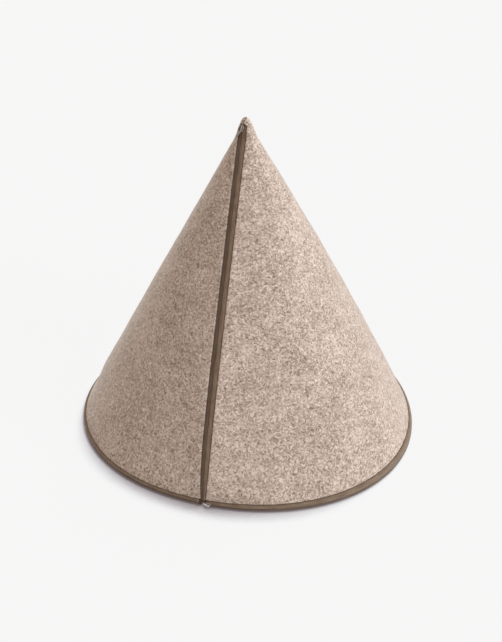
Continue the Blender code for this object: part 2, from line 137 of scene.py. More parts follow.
def belly(turn, height):
    """How far the wall bellies out half way up."""
    rise = min(max((height - BELLY_FOOT) / (CONE_HEIGHT - BELLY_FOOT), 0.0), 1.0)
    return (BELLY + BELLY_RIGHT * math.sin(turn)) * 4 * rise * (1 - rise)


def tuck(turn, height):
    """How far the foot tucks in under the bed, on the left of the back."""
    share = math.exp(-(((turn % math.tau - TUCK_TURN) / TUCK_SPREAD) ** 2))
    return TUCK * share * (1 - smooth_step(*TUCK_FADES_OVER, height))


def mean_radius(height):
    """The wall's radius all round: straight, then a smooth curve through the tip's sections."""
    drop = TIP_TOP - height
    if drop >= TIP_SECTIONS[1]["drop"]:
        return (CONE_HEIGHT - height) * WALL_SLOPE
    rows = TIP_SECTIONS
    at = max(i for i in range(len(rows) - 1) if rows[i]["drop"] >= drop or i == 0)
    before, low, high = rows[max(at - 1, 0)], rows[at], rows[at + 1]
    after = rows[min(at + 2, len(rows) - 1)]
    span = high["drop"] - low["drop"]
    share = (drop - low["drop"]) / span
    slope_low = (high["radius"] - before["radius"]) / (high["drop"] - before["drop"]) * span
    slope_high = (after["radius"] - low["radius"]) / (after["drop"] - low["drop"]) * span
    square, cube = share * share, share**3
    return (
        (2 * cube - 3 * square + 1) * low["radius"]
        + (cube - 2 * square + share) * slope_low
        + (3 * square - 2 * cube) * high["radius"]
        + (cube - square) * slope_high
    )


def wall_radius(turn, height):
    fading = 1 - smooth_step(TIP_TOP - TIP_EVENS_FROM, TIP_TOP - TIP_EVENS_BY, height)
    uneven = (unevenness(turn) + ridge(turn, height)) * fading
    return mean_radius(height) * (1 + uneven) + belly(turn, height) - tuck(turn, height)


def outwards(turn):
    return Vector((math.sin(turn), -math.cos(turn), 0.0))


def wall_point(turn, height):
    """A point of the wall's face. Near the foot, height counts from the felt's own wavy edge."""
    follows = 1 - smooth_step(PRESSED_HEM_END, RIM_WAVES_END, height)
    height += lobes_at(RIM_BAND_LOBES, turn) * follows
    return AXIS + outwards(turn) * wall_radius(turn, height) + Vector((0.0, 0.0, height))


def wall_normal(turn, height):
    step = 2e-4
    across = wall_point(turn + step, height) - wall_point(turn - step, height)
    along = wall_point(turn, height + step) - wall_point(turn, height - step)
    return across.cross(along).normalized()


def foot_share(height):
    return math.exp((RIM_BAND - height) / ZIP_NARROWS_OVER)


def tip_spread(height):
    return ZIP_TIP_SPREAD * math.exp((height - ZIP_SPREADS_AT) / ZIP_SPREADS_OVER)


def zip_middle(height):
    """How far right of the front the middle of the zip's gap lies, along the wall."""
    aside = ZIP_OFFSET + ZIP_FOOT_OFFSET * foot_share(height) - tip_spread(height)
    return aside * (1 - smooth_step(ZIP_TOP, ZIP_TOP + SEAM_STRAIGHTENS_OVER, height))


def zip_half(height):
    """Half the width of the zip's gap."""
    shown = ZIP_HALF - ZIP_NARROWER * foot_share(height) + tip_spread(height)
    seamed = smooth_step(ZIP_TOP, ZIP_TOP + SEAM_CLOSES_OVER, height)
    return shown + (SEAM_HALF - shown) * seamed


def edge_turn(height, side):
    """Turn of the felt's cut edge beside the front zip: side is +1 on the right, -1 on the left."""
    return (zip_middle(height) + side * zip_half(height)) / wall_radius(0.0, height)


def closed_sheet(name, outer, inner, flat, wraps=False):
    """A sheet with thickness from two grids of points, its UVs the cut cloth's metres.

    Its edges are closed. One that wraps round has its last row closed over a point in the middle.
    """
    shape = bmesh.new()
    uv_layer = shape.loops.layers.uv.new("flat_cloth")
    rows, columns = len(outer), len(outer[0])
    flat_of = {}
    grids = []
    for grid in (outer, inner):
        made = [[shape.verts.new(point) for point in row] for row in grid]
        for i in range(rows):
            for j in range(columns):
                flat_of[made[i][j]] = flat[i][j]
        grids.append(made)
    top, under = grids
    last = columns if wraps else columns - 1

    def face(*corners):
        made = shape.faces.new(corners)
        made.smooth = True
        for loop in made.loops:
            loop[uv_layer].uv = flat_of[loop.vert]

    for i in range(rows - 1):
        for j in range(last):
            k = (j + 1) % columns
            face(top[i][j], top[i][k], top[i + 1][k], top[i + 1][j])
            face(under[i][j], under[i + 1][j], under[i + 1][k], under[i][k])
    for j in range(last):
        k = (j + 1) % columns
        face(under[0][j], under[0][k], top[0][k], top[0][j])
    if wraps:
        for grid, step in ((top, 1), (under, -1)):
            ring = grid[-1]
            middle = shape.verts.new(sum((corner.co for corner in ring), Vector()) / columns)
            flat_of[middle] = [sum(spot[axis] for spot in flat[-1]) / columns for axis in (0, 1)]
            for j in range(columns):
                face(*(ring[j], ring[(j + 1) % columns], middle)[::step])
    else:
        for j in range(last):
            face(top[-1][j], top[-1][j + 1], under[-1][j + 1], under[-1][j])
        for i in range(rows - 1):
            face(under[i][0], top[i][0], top[i + 1][0], under[i + 1][0])
            face(top[i][-1], under[i][-1], under[i + 1][-1], top[i + 1][-1])
    mesh = bpy.data.meshes.new(name)
    shape.to_mesh(mesh)
    shape.free()
    made = bpy.data.objects.new(name, mesh)
    bpy.context.scene.collection.objects.link(made)
    return made


# The cone's grid is closer together at the cut edges, which the cutter leaves slightly rounded:
# how far in from the edge, and how far the face has sunk there
EDGE_ROUND = (
    {"in": 0.0, "sink": 0.0011},
    {"in": 0.0003, "sink": 0.0006},
    {"in": 0.0008, "sink": 0.00025},
    {"in": 0.0016, "sink": 0.00005},
    {"in": 0.0030, "sink": 0.0},
    {"in": 0.0050, "sink": 0.0},
    {"in": 0.0075, "sink": 0.0},
    {"in": 0.0105, "sink": 0.0},
)
TIP_EDGE, TIP_EDGE_TURN = 0.0012, 0.04  # at the tip this much edge takes this much turn at most
CONE_COLUMNS = 236
CONE_ROWS = 132
TIP_DROPS = (
    *(0.0355, 0.0325, 0.0295, 0.0268, 0.0243, 0.022, 0.020, 0.018, 0.016, 0.0145, 0.013, 0.012),
    *(0.011, 0.010, 0.0085, 0.007, 0.0058, 0.0046, 0.0035, 0.0025, 0.0017, 0.0010, 0.0005, 0.0002),
)

# Stiff felt is never quite even: it swells a little everywhere but at its sewn edges and its tip
SWELLS = ({"waves": 16.0, "rise": 0.0007}, {"waves": 70.0, "rise": 0.00025})
CALM_EDGE = 0.020
CALM_HEM = 0.03
CALM_TIP_OVER = (0.46, 0.50)  # heights

# Above the zip the edges turn in further where they meet
SEAM_TURNS_IN_FROM, SEAM_TURNS_IN_BY = 0.002, 0.006  # above the zip's top
SEAM_TURNS_IN = 0.9
THINNEST = 0.0004


def edge_sink(distance):
    """How far the rounded edge has sunk below the face, at a distance in from the cut."""
    for near, far in zip(EDGE_ROUND, EDGE_ROUND[1:]):
        if distance <= far["in"]:
            share = (distance - near["in"]) / (far["in"] - near["in"])
            return near["sink"] + share * (far["sink"] - near["sink"])
    return 0.0


cone_heights = [RIM_BAND + row["in"] for row in EDGE_ROUND]
hem_end, tip_start = cone_heights[-1], TIP_TOP - TIP_SECTIONS[2]["drop"]
for row in range(1, CONE_ROWS + 1):
    cone_heights.append(hem_end + (tip_start - hem_end) * row / CONE_ROWS)
cone_heights += [TIP_TOP - drop for drop in TIP_DROPS]

SLANT_SHARE = BASE_RADIUS / math.hypot(BASE_RADIUS, CONE_HEIGHT)
outer, inner, flat = [], [], []
for height in cone_heights:
    right, left = edge_turn(height, 1), math.tau + edge_turn(height, -1)
    radius = wall_radius(0.0, height)
    steps = [min(row["in"] / radius, TIP_EDGE_TURN * row["in"] / TIP_EDGE) for row in EDGE_ROUND]
    turns = [right + step for step in steps]
    span = left - right - 2 * steps[-1]
    turns += [turns[-1] + span * column / CONE_COLUMNS for column in range(1, CONE_COLUMNS)]
    turns += [left - step for step in reversed(steps)]
    slant = math.hypot(radius, CONE_HEIGHT - height)
    seamed = smooth_step(ZIP_TOP + SEAM_TURNS_IN_FROM, ZIP_TOP + SEAM_TURNS_IN_BY, height)
    outer_row, inner_row, flat_row = [], [], []
    for turn in turns:
        normal = wall_normal(turn, height)
        point = wall_point(turn, height)
        from_edge = min(turn - right, left - turn) * radius
        sink = edge_sink(from_edge) * (1 + SEAM_TURNS_IN * seamed) + edge_sink(height - RIM_BAND)
        free = smooth_step(0.0, CALM_EDGE, from_edge)
        free *= smooth_step(0.0, CALM_HEM, height - RIM_BAND)
        free *= 1 - smooth_step(*CALM_TIP_OVER, height)
        swell = sum(noise.noise(point * one["waves"]) * one["rise"] for one in SWELLS)
        pressed = from_edge < PRESSED_EDGE or height < PRESSED_HEM
        thick = PRESSED_FELT if pressed else FELT
        outer_row.append(point + normal * (swell * free - sink))
        inner_row.append(point - normal * max(thick, sink + THINNEST))
        angle = turn * SLANT_SHARE
        flat_row.append((slant * math.cos(angle), slant * math.sin(angle)))
    outer.append(outer_row)
    inner.append(inner_row)
    flat.append(flat_row)
cone_sheet = closed_sheet("cone_sheet", outer, inner, flat)

# Pressed felt: tan fibres matted in every direction over darker brown ones, with a soft nap. Curled
# streaks cross at four angles, over patches and specks, and finer fibres lie on top of them.


def node(tree, kind, **settings):
    made = tree.nodes.new(kind)
    for name, value in settings.items():
        setattr(made, name, value)
    return made


def calc(tree, operation, first, second=None):
    """A Math node on two values, each a number or another node's output."""
    made = node(tree, "ShaderNodeMath", operation=operation)
    for socket, value in zip(made.inputs, (first, second)):
        if isinstance(value, (int, float)):
            socket.default_value = value
        elif value is not None:
            tree.links.new(value, socket)
    return made.outputs[0]


def noise_at(tree, vector, scale, detail=2.0, rough=0.5, turned=0.0, stretch=(1.0, 1.0)):
    """Noise over the flat cloth, in features of 1 / scale metres, turned and stretched."""
    mapping = node(tree, "ShaderNodeMapping", vector_type="TEXTURE")
    mapping.inputs["Rotation"].default_value = (0.0, 0.0, turned)
    mapping.inputs["Scale"].default_value = (1 / stretch[0], 1 / stretch[1], 1.0)
    tree.links.new(vector, mapping.inputs["Vector"])
    made = node(tree, "ShaderNodeTexNoise", noise_dimensions="2D")
    made.inputs["Scale"].default_value = scale
    made.inputs["Detail"].default_value = detail
    made.inputs["Roughness"].default_value = rough
    tree.links.new(mapping.outputs[0], made.inputs["Vector"])
    return made.outputs[0]


def effect_group(name, inputs, outputs):
    """A node group with its inputs (label, kind, value) and outputs (label, kind)."""
    group = bpy.data.node_groups.new(name, "ShaderNodeTree")
    for label, kind, value in inputs:
        socket = group.interface.new_socket(label, in_out="INPUT", socket_type=kind)
        if value is not None:
            socket.default_value = value
    for label, kind in outputs:
        group.interface.new_socket(label, in_out="OUTPUT", socket_type=kind)
    return group, group.nodes.new("NodeGroupInput"), group.nodes.new("NodeGroupOutput")


felt_fibres, given, out = effect_group(
    "felt_fibres",
    (("Flat Cloth", "NodeSocketVector", None), ("Streak Length", "NodeSocketFloat", 0.0058)),
    (("Mottle", "NodeSocketFloat"), ("Height", "NodeSocketFloat")),
)
flat_cloth = given.outputs["Flat Cloth"]
drift = node(felt_fibres, "ShaderNodeTexNoise", noise_dimensions="2D")
drift.inputs["Scale"].default_value = 95.0
felt_fibres.links.new(flat_cloth, drift.inputs["Vector"])
shift = node(felt_fibres, "ShaderNodeVectorMath", operation="MULTIPLY_ADD")
shift.inputs[1].default_value = (0.009, 0.009, 0.0)
felt_fibres.links.new(drift.outputs["Color"], shift.inputs[0])
felt_fibres.links.new(flat_cloth, shift.inputs[2])
curled = shift.outputs[0]
per_length = calc(felt_fibres, "DIVIDE", 1.0, given.outputs["Streak Length"])
scaled = node(felt_fibres, "ShaderNodeVectorMath", operation="SCALE")
felt_fibres.links.new(curled, scaled.inputs[0])
felt_fibres.links.new(per_length, scaled.inputs["Scale"])
streaks = [
    noise_at(felt_fibres, scaled.outputs[0], 1.0, 1.0, 0.5, math.radians(turned), (1.0, 2.6))
    for turned in (12, 58, 103, 148)
]
light = calc(felt_fibres, "MAXIMUM", streaks[0], streaks[2])
dark = calc(felt_fibres, "MAXIMUM", streaks[1], streaks[3])
crossing = calc(felt_fibres, "SUBTRACT", light, dark)
patches = calc(felt_fibres, "SUBTRACT", noise_at(felt_fibres, flat_cloth, 62.0, 2.0), 0.5)
wide = calc(felt_fibres, "SUBTRACT", noise_at(felt_fibres, flat_cloth, 14.0, 1.0), 0.5)
specks = calc(felt_fibres, "SUBTRACT", noise_at(felt_fibres, curled, 330.0, 1.0), 0.5)
mottle = calc(felt_fibres, "MULTIPLY_ADD", crossing, 1.25)
mottle.node.inputs[2].default_value = 0.5
for part, share in ((patches, 0.45), (wide, 0.25), (specks, 0.55)):
    mottle = calc(felt_fibres, "ADD", mottle, calc(felt_fibres, "MULTIPLY", part, share))
fine = [
    noise_at(felt_fibres, curled, 1.0, 1.0, 0.5, math.radians(turned), (190.0, 1700.0))
    for turned in (33, 81, 126, 171)
]
nap = calc(felt_fibres, "MAXIMUM", calc(felt_fibres, "MAXIMUM", fine[0], fine[1]), fine[2])
nap = calc(felt_fibres, "MAXIMUM", nap, fine[3])
height = calc(felt_fibres, "ADD", calc(felt_fibres, "MULTIPLY", mottle, 0.5), nap)
fibres = calc(felt_fibres, "MULTIPLY", calc(felt_fibres, "SUBTRACT", nap, 0.62), 0.9)
felt_fibres.links.new(calc(felt_fibres, "ADD", mottle, fibres), out.inputs["Mottle"])
felt_fibres.links.new(height, out.inputs["Height"])


def cloth_material(name, group, settings=()):
    """A material with a Principled shader and an effect group fed with the flat cloth's metres."""
    made = bpy.data.materials.new(name)
    made.use_nodes = True
    tree = made.node_tree
    cloth = node(tree, "ShaderNodeUVMap", uv_map="flat_cloth")
    effect = node(tree, "ShaderNodeGroup")
    effect.node_tree = group
    tree.links.new(cloth.outputs[0], effect.inputs["Flat Cloth"])
    for label, value in settings:
        effect.inputs[label].default_value = value
    return made, tree, tree.nodes["Principled BSDF"], effect


def coloured_by(tree, mask, shader, stops, into="Base Color"):
    """A colour ramp from a mask into one of the shader's colours."""
    ramp = node(tree, "ShaderNodeValToRGB")
    while len(ramp.color_ramp.elements) < len(stops):
        ramp.color_ramp.elements.new(0.5)
    for element, (position, colour) in zip(ramp.color_ramp.elements, stops):
        element.position = position
        element.color = (*colour, 1.0)
    tree.links.new(mask, ramp.inputs[0])
    tree.links.new(ramp.outputs[0], shader.inputs[into])


def bumped(tree, height, shader, strength, distance):
    """Bump from a height mask into Normal; distance is in metres."""
    bump = node(tree, "ShaderNodeBump")
    bump.inputs["Strength"].default_value = strength
    bump.inputs["Distance"].default_value = distance
    tree.links.new(height, bump.inputs["Height"])
    tree.links.new(bump.outputs[0], shader.inputs["Normal"])


felt, tree, shader, effect = cloth_material("mottled_felt", felt_fibres)
coloured_by(
    tree,
    effect.outputs["Mottle"],
    shader,
    (
        (0.08, (0.215, 0.151, 0.110)),
        (0.40, (0.400, 0.312, 0.252)),
        (0.60, (0.505, 0.409, 0.339)),
        (0.92, (0.705, 0.600, 0.518)),
    ),
)
bumped(tree, effect.outputs["Height"], shader, 0.22, 0.0009)
shader.inputs["Roughness"].default_value = 0.95
shader.inputs["Specular IOR Level"].default_value = 0.15
shader.inputs["Sheen Weight"].default_value = 0.45
shader.inputs["Sheen Roughness"].default_value = 0.45
shader.inputs["Sheen Tint"].default_value = (1.0, 0.96, 0.92, 1.0)
cone_sheet.data.materials.append(felt)
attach(cone_sheet, "root")
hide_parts("cone_felt")

# ------------------------------------------------------------------ the felt base
# A round of the same felt lies flat on the floor. Its margin is pressed thin from below where the
# rim zip's lower tape is sewn under it.

BASE_COLUMNS = 240
BASE_MIDDLE = (0.6, 0.85)  # the innermost rings, as shares of the way to the middle
BASE_CUT_AT = 1.0  # along the roll of felt, so that its fibres aren't the cone's
BASE_RINGS = (
    {"out": -0.0900, "low": 0.0, "high": 0.0040},
    {"out": -0.0300, "low": 0.0, "high": 0.0040},
    {"out": -0.0140, "low": 0.0, "high": 0.0040},
    {"out": -0.0092, "low": 0.0, "high": 0.0040},
    {"out": -0.0088, "low": 0.0018, "high": 0.0040},
    {"out": -0.0060, "low": 0.0018, "high": 0.0040},
    {"out": -0.0034, "low": 0.0018, "high": 0.0039},
    {"out": -0.0024, "low": 0.0021, "high": 0.0034},
)


def rim_point(turn, out, height, follows=0.0):
    """A point of the foot: out is how far it lies outside the base's outline.

    follows is how far it rises and falls with the felt's lower edge, as a share.
    """
    rise = follows * lobes_at(RIM_BAND_LOBES, turn)
    height += rise
    radius = BASE_RADIUS + out - rise * WALL_SLOPE
    radius *= 1 + unevenness(turn) + ridge(turn, height)
    return AXIS + outwards(turn) * (radius - tuck(turn, height)) + Vector((0.0, 0.0, height))


def base_point(turn, out, height):
    """A point of the base, whose rings shrink evenly towards its middle."""
    share = min((BASE_RADIUS + out) / (BASE_RADIUS + BASE_RINGS[0]["out"]), 1.0)
    at_rim = rim_point(turn, max(out, BASE_RINGS[0]["out"]), height)
    return Vector((AXIS.x, AXIS.y, height)).lerp(at_rim, share)


rim_turns = [math.tau * column / BASE_COLUMNS for column in range(BASE_COLUMNS)]
rings = list(reversed(BASE_RINGS))
rings += [{"out": -BASE_RADIUS * share, "low": 0.0, "high": FELT} for share in BASE_MIDDLE]
outer = [[base_point(turn, ring["out"], ring["high"]) for turn in rim_turns] for ring in rings]
inner = [[base_point(turn, ring["out"], ring["low"]) for turn in rim_turns] for ring in rings]
flat = [[(point.x + BASE_CUT_AT, point.y + BASE_CUT_AT) for point in row] for row in outer]
base_sheet = closed_sheet("base_sheet", outer, inner, flat, wraps=True)
base_sheet.data.materials.append(felt)
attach(base_sheet, "root")
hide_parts("base_felt")

# ------------------------------------------------------------------ the front zip
# A coil zip set in coil side in, so that only its two woven tapes show, edge to edge over the
# closed coil. They rise to a low ridge between the felt's cut edges and are sewn down under them.

MM = 0.001
GAP = 0.0003  # between pieces that touch
TAPE = 0.0011
ZIP_RISE = 0.0008  # how far the zip's middle stands out from the felt's edges
CHAIN_HALF_GAP = 0.0002
TAPE_ROWS = 250
TAPE_OVERLAP = 0.0015  # how far the tapes run down behind the rim zip
TAPE_PER_HEIGHT = 1.18  # tape for each metre of height, as it runs up the slope

# Each tape from the chain to the felt's edge: how far across, and how far it stands out
TAPE_ACROSS = (
    {"share": 0.0, "rise": -0.0010},
    {"share": 0.03, "rise": -0.00045},
    {"share": 0.08, "rise": 0.00005},
    {"share": 0.16, "rise": 0.00020},
    {"share": 0.24, "rise": 0.00010},
    {"share": 0.28, "rise": 0.00026},
    {"share": 0.38, "rise": 0.00042},
    {"share": 0.48, "rise": 0.00052},
    {"share": 0.58, "rise": 0.00058},
    {"share": 0.63, "rise": 0.00050},
    {"share": 0.68, "rise": 0.00066},
    {"share": 0.80, "rise": 0.00085},
    {"share": 0.90, "rise": 0.00095},
    {"share": 0.96, "rise": 0.00060},
    {"share": 1.0, "rise": 0.0},
)
FULLER_RIGHT, FULLER_PAST = 1.9, 0.3  # the right tape stands out more, past this share

# Under the felt it lies flat, less far at the foot, where the rim zip's tape takes its place
TAPE_UNDER = (0.15, 0.35, 0.6, 0.8, 1.0)
TAPE_REACH = 0.0068
TAPE_SHOWN = 0.0065  # cloth between the chain and the felt's edge
JUST_IN = 0.002  # radians in from the felt's edge, where its slope is taken
WIDEST_REACH = 0.195  # radians, near the tip
FOOT_REACH = 0.02  # share of its reach that is left at the foot
FOOT_REACH_OVER = (0.017, 0.026)  # heights


def zip_frame(height):
    """Where the front zip's closed edges run at a height, and the directions across and outwards."""
    left = wall_point(edge_turn(height, -1), height)
    right = wall_point(edge_turn(height, 1), height)
    across = (right - left).normalized()
    low, high = wall_point(0.0, height - MM), wall_point(0.0, height + MM)
    out = across.cross((high - low).normalized()).normalized()
    return (left + right) / 2 + out * ZIP_RISE, across, out


# The tapes' herringbone weave: slanted ribs that turn back at each chevron, crossed by lengthwise
# yarns, and worn lighter in streaks along the tape
woven_tape, given, out = effect_group(
    "woven_tape",
    (("Flat Cloth", "NodeSocketVector", None), ("Yarn", "NodeSocketFloat", 0.00055)),
    (("Weave", "NodeSocketFloat"), ("Wear", "NodeSocketFloat")),
)
split = node(woven_tape, "ShaderNodeSeparateXYZ")
woven_tape.links.new(given.outputs["Flat Cloth"], split.inputs[0])
yarn_turn = calc(woven_tape, "DIVIDE", math.pi, given.outputs["Yarn"])
chevron = calc(woven_tape, "PINGPONG", split.outputs[0], 0.0026)
slanted = calc(woven_tape, "ADD", split.outputs[1], calc(woven_tape, "MULTIPLY", chevron, 0.9))
ribs = calc(woven_tape, "SINE", calc(woven_tape, "MULTIPLY", slanted, yarn_turn))
lengthwise = calc(woven_tape, "SINE", calc(woven_tape, "MULTIPLY", split.outputs[0], yarn_turn))
woven = calc(woven_tape, "MULTIPLY_ADD", calc(woven_tape, "ABSOLUTE", ribs), 0.6)
woven_tape.links.new(
    calc(woven_tape, "MULTIPLY", calc(woven_tape, "ABSOLUTE", lengthwise), 0.4), woven.node.inputs[2]
)
woven_tape.links.new(woven, out.inputs["Weave"])
wear = noise_at(woven_tape, given.outputs["Flat Cloth"], 240.0, 2.0, 0.5, 0.0, (1.0, 0.22))
woven_tape.links.new(
    calc(woven_tape, "ADD", calc(woven_tape, "MULTIPLY", woven, 0.25), wear), out.inputs["Wear"]
)


def tape_material(name, dark, light):
    """Woven zip tape, worn from its dark colour to its light one."""
    made, tree, shader, effect = cloth_material(name, woven_tape)
    coloured_by(tree, effect.outputs["Wear"], shader, ((0.35, dark), (0.85, light)))
    bumped(tree, effect.outputs["Weave"], shader, 0.5, 0.00025)
    shader.inputs["Roughness"].default_value = 0.62
    shader.inputs["Specular IOR Level"].default_value = 0.45
    shader.inputs["Sheen Weight"].default_value = 0.25
    shader.inputs["Sheen Roughness"].default_value = 0.45
    shader.inputs["Sheen Tint"].default_value = (1.0, 0.97, 0.95, 1.0)
    return made


# Painted shade: a darker copy of the tape colour, for the left front tape, which faces away from the
# light, and for the rim's lower tape, which faces down
shaded_tape = tape_material("zip_tape_painted_shade", (0.081, 0.046, 0.025), (0.136, 0.086, 0.050))
tape_light = tape_material("zip_tape_brown", (0.123, 0.074, 0.043), (0.206, 0.137, 0.084))
# Painted light: a slightly lighter copy of the tape colour, for the rim's upper tape, which faces up
# to the light
lit_tape_copy = tape_material("zip_tape_painted_light", (0.132, 0.081, 0.048), (0.212, 0.147, 0.092))
zip_heights = [RIM_BAND - TAPE_OVERLAP]
for row in range(TAPE_ROWS + 1):
    zip_heights.append(RIM_BAND + (ZIP_TOP - RIM_BAND) * row / TAPE_ROWS)
front_tapes = []
for side, name in ((-1, "front_zip_tape_left"), (1, "front_zip_tape_right")):
    outer, inner, flat = [], [], []
    for height in zip_heights:
        middle, across, out = zip_frame(height)
        edge = edge_turn(height, side)
        radius = wall_radius(0.0, height)
        full = FOOT_REACH + (1 - FOOT_REACH) * smooth_step(*FOOT_REACH_OVER, height)
        reach = min(TAPE_REACH / radius, WIDEST_REACH) * full
        depth = PRESSED_FELT + GAP
        chain = middle + across * side * CHAIN_HALF_GAP
        felt_edge = wall_point(edge, height) - wall_normal(edge + side * JUST_IN, height) * depth
        felt_edge -= across * side * GAP
        outer_row, inner_row, flat_row = [], [], []
        for row in TAPE_ACROSS:
            fuller = FULLER_RIGHT if side > 0 and row["share"] > FULLER_PAST else 1.0
            point = chain.lerp(felt_edge, row["share"]) + out * row["rise"] * fuller
            outer_row.append(point)
            inner_row.append(point - out * TAPE)
            flat_row.append(((point - middle).length, height * TAPE_PER_HEIGHT))
        for share in TAPE_UNDER:
            turn = edge + side * reach * share
            normal = wall_normal(turn, height)
            point = wall_point(turn, height) - normal * depth
            outer_row.append(point)
            inner_row.append(point - normal * TAPE)
            flat_row.append((TAPE_SHOWN + reach * radius * share, height * TAPE_PER_HEIGHT))
        if side < 0:
            outer_row.reverse()
            inner_row.reverse()
            flat_row.reverse()
        outer.append(outer_row)
        inner.append(inner_row)
        flat.append(flat_row)
    tape = closed_sheet(name, outer, inner, flat)
    # The left tape takes the darker copy, as painted shade; the right tape takes the tape's own
    # colour
    tape.data.materials.append(shaded_tape if side < 0 else tape_light)
    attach(tape, "root")
    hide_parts("front_tape_left" if side < 0 else "front_tape_right")
    front_tapes.append(tape)

# ------------------------------------------------------------------ the rim zip
# A second zip of the same kind runs round the foot. Its upper tape is sewn behind the cone's hem
# and rolls out over the closed coil; its lower tape turns under the base's pressed margin.

# Each tape's section in millimetres, from its sewn edge or its edge at the coil: how far outside
# the base's outline and how high, on its outer and its inner face, and how far it follows the
# felt's lower edge. Its ends are metres of rim, to the right and to the left of the front.
RIM_TAPES = (
    {
        "name": "rim_zip_tape_upper",
        "node": "rim_tape_upper",
        "slot": "zip_tape_light",
        # Painted light: the lighter copy of the tape colour, where this tape faces up
        "finish": lit_tape_copy,
        "ends": (0.0020, -0.0105),
        "outer": (
            *((-9.36, 16.05), (-7.4, 12.5), (-5.4, 9.2), (-4.2, 9.3), (-2.75, 10.25), (-1.1, 10.15)),
            *((-0.3, 9.85), (0.45, 9.25), (0.95, 8.55), (1.3, 7.8), (1.5, 7.0), (1.6, 6.1)),
        ),
        "inner": (
            *((-10.3, 15.5), (-8.0, 11.2), (-5.8, 7.8), (-4.4, 8.1), (-2.65, 9.05), (-1.4, 9.0)),
            *((-0.8, 8.75), (-0.3, 8.3), (0.05, 7.85), (0.25, 7.4), (0.4, 6.8), (0.5, 6.1)),
        ),
        "follows": (1.0, 1.0, 1.0, 1.0, 1.0, 1.0, 0.9, 0.8, 0.65, 0.5, 0.4, 0.3),
    },
    {
        "name": "rim_zip_tape_lower",
        "node": "rim_tape_lower",
        "slot": "zip_tape_dark",
        # Painted shade: the darker copy of the tape colour, where this tape faces down
        "finish": shaded_tape,
        "ends": (0.0, -0.0071),
        "outer": (
            *((1.6, 5.5), (1.62, 4.7), (1.5, 3.8), (1.35, 2.8), (1.1, 1.9), (0.75, 1.25)),
            *((0.3, 0.8), (-0.2, 0.5), (-0.8, 0.4), (-3.0, 0.4), (-5.6, 0.4), (-8.2, 0.4)),
        ),
        "inner": (
            *((0.5, 5.5), (0.5, 4.7), (0.4, 3.9), (0.25, 3.1), (0.0, 2.4), (-0.2, 1.95)),
            *((-0.45, 1.65), (-0.6, 1.55), (-0.8, 1.5), (-3.0, 1.5), (-5.6, 1.5), (-8.2, 1.5)),
        ),
        "follows": (0.3, 0.25, 0.2, 0.12, 0.05, 0.02, 0.0, 0.0, 0.0, 0.0, 0.0, 0.0),
    },
)
RIM_COLUMNS = 420
UNEVEN, UNEVEN_WAVES = 0.15, 14.0  # millimetres in and out, as sewing draws the tapes
PINCHED, PINCHED_OVER = 0.7, 0.006  # how thin the tapes' ends are drawn, and over what turn
rim_tapes = []
for spec in RIM_TAPES:
    start, end = spec["ends"][0] / BASE_RADIUS, math.tau + spec["ends"][1] / BASE_RADIUS
    turns = [start + (end - start) * column / RIM_COLUMNS for column in range(RIM_COLUMNS + 1)]
    outer, inner, flat = [], [], []
    for turn in turns:
        around = Vector((math.cos(turn), math.sin(turn), 0.0))
        aside = noise.noise(around * UNEVEN_WAVES) * UNEVEN
        pinch = PINCHED * (1 - smooth_step(0.0, PINCHED_OVER, min(turn - start, end - turn)))
        faces = []
        for side in ("outer", "inner"):
            section = zip(spec[side], spec["follows"])
            faces.append([rim_point(turn, (o + aside) * MM, h * MM, f) for (o, h), f in section])
        middles = [(o + i) / 2 for o, i in zip(*faces)]
        outer.append([o.lerp(m, pinch) for o, m in zip(faces[0], middles)])
        inner.append([i.lerp(m, pinch) for i, m in zip(faces[1], middles)])
        along, across = turn * BASE_RADIUS, 0.0
        flat_row = []
        for count, point in enumerate(outer[-1]):
            across += (point - outer[-1][count - 1]).length if count else 0.0
            flat_row.append((across, along))
        flat.append(flat_row)
    tape = closed_sheet(spec["name"], outer, inner, flat)
    tape.data.materials.append(spec["finish"])
    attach(tape, "root")
    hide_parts(spec["node"])
    rim_tapes.append(tape)

# ------------------------------------------------------------------ the coils, sliders and pulls
# Moulded brown nylon coils lie behind the tapes. The sliders and their tab pulls are die-cast zinc
# with a worn brown-grey plating; the pull at the foot is bright nickel.

worn_metal, given, out = effect_group(
    "worn_metal",
    (("Place", "NodeSocketVector", None),),
    (("Wear", "NodeSocketFloat"), ("Scratches", "NodeSocketFloat")),
)
for label, scale, stretch in (("Wear", 900.0, 1.0), ("Scratches", 1500.0, 0.12)):
    mapping = node(worn_metal, "ShaderNodeMapping")
    mapping.inputs["Scale"].default_value = (1.0, 1.0, stretch)
    worn_metal.links.new(given.outputs["Place"], mapping.inputs["Vector"])
    grain = node(worn_metal, "ShaderNodeTexNoise")
    grain.inputs["Scale"].default_value = scale
    worn_metal.links.new(mapping.outputs[0], grain.inputs["Vector"])
    worn_metal.links.new(grain.outputs[0], out.inputs[label])


def moulded_material(name, dark, light, rough, metallic):
    """Cast metal or moulded nylon, worn from its dark colour to its light one."""
    made = bpy.data.materials.new(name)
    made.use_nodes = True
    tree, shader = made.node_tree, made.node_tree.nodes["Principled BSDF"]
    effect = node(tree, "ShaderNodeGroup")
    effect.node_tree = worn_metal
    place = node(tree, "ShaderNodeTexCoord")
    tree.links.new(place.outputs["Object"], effect.inputs["Place"])
    coloured_by(tree, effect.outputs["Wear"], shader, ((0.35, dark), (0.62, light)))
    bumped(tree, effect.outputs["Scratches"], shader, 0.15, 0.0001)
    spread = calc(tree, "MULTIPLY_ADD", effect.outputs["Wear"], 0.2)
    spread.node.inputs[2].default_value = rough
    tree.links.new(spread, shader.inputs["Roughness"])
    shader.inputs["Metallic"].default_value = metallic
    return made


